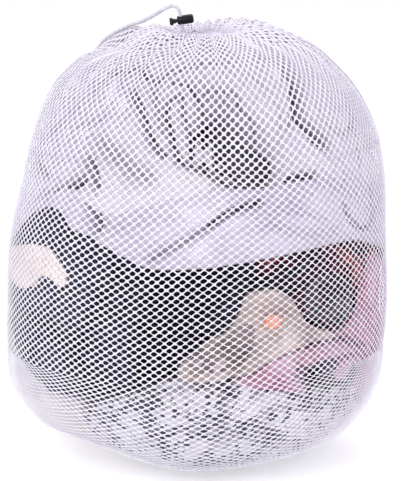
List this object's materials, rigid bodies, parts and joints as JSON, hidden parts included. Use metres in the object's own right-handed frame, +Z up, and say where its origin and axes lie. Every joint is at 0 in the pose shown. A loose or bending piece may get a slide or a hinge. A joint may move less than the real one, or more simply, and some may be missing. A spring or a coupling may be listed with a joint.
{
  "type": "mesh laundry bag",
  "caption": "Filled drawstring laundry bag of coarse white net, drawn shut at a gathered neck with a sprung cord lock on its looped cord.",
  "frame": {"origin": "middle of the flat patch that the filled bag stands on", "axes": "+Z up, front of the bag towards -Y, left side seam towards -X"},
  "size_m": [0.381, 0.381, 0.4458],
  "materials": {
    "net": "knitted polyester net, soft sheen",
    "binding": "gathered net and overlocked tape",
    "cord": "braided polyester",
    "black_plastic": "moulded, semi-gloss",
    "steel": "spring wire",
    "white_cotton": "plain weave cotton",
    "grey_jersey": "fine jersey",
    "navy_knit": "ribbed knit",
    "maroon_knit": "knit with a dark pattern",
    "beige_linen": "slub linen",
    "pink_jersey": "fine jersey",
    "printed_cotton": "white cotton with a black speckled print",
    "cream_terry": "looped terry"
  },
  "bodies": {
    "bag": {"net_front_panel": "net", "net_back_panel": "net", "side_seam_left": "binding", "side_seam_right": "binding", "bottom_seam": "binding", "hem_channel_front": "binding", "hem_channel_back": "binding", "exit_tack_front": "binding", "exit_tack_back": "binding", "drawstring_ring": "cord", "drawstring_loop": "cord", "printed_dress": "printed_cotton", "cream_towel": "cream_terry", "navy_sweater": "navy_knit", "maroon_cardigan": "maroon_knit", "beige_blouse": "beige_linen", "pink_top": "pink_jersey", "white_pillowcase": "white_cotton", "rolled_white_shirt": "white_cotton", "grey_vest": "grey_jersey", "white_shirt": "white_cotton"},
    "cord_lock": {"cord_lock_barrel": "black_plastic"},
    "lock_button": {"cord_lock_plunger": "black_plastic", "cord_lock_spring": "steel"}
  },
  "joints": [
    {"name": "lock_slide", "type": "slide", "parent": "bag", "child": "cord_lock", "axis": [-0.1564, 0, 0.9877], "range_m": [0, 0.004]},
    {"name": "plunger_press", "type": "slide", "parent": "cord_lock", "child": "lock_button", "axis": [0.9877, 0, 0.1564], "range_m": [0, 0.0035], "stiffness_N_per_m": 800, "springref_m": -0.002, "deforming": ["cord_lock_spring"]}
  ]
}
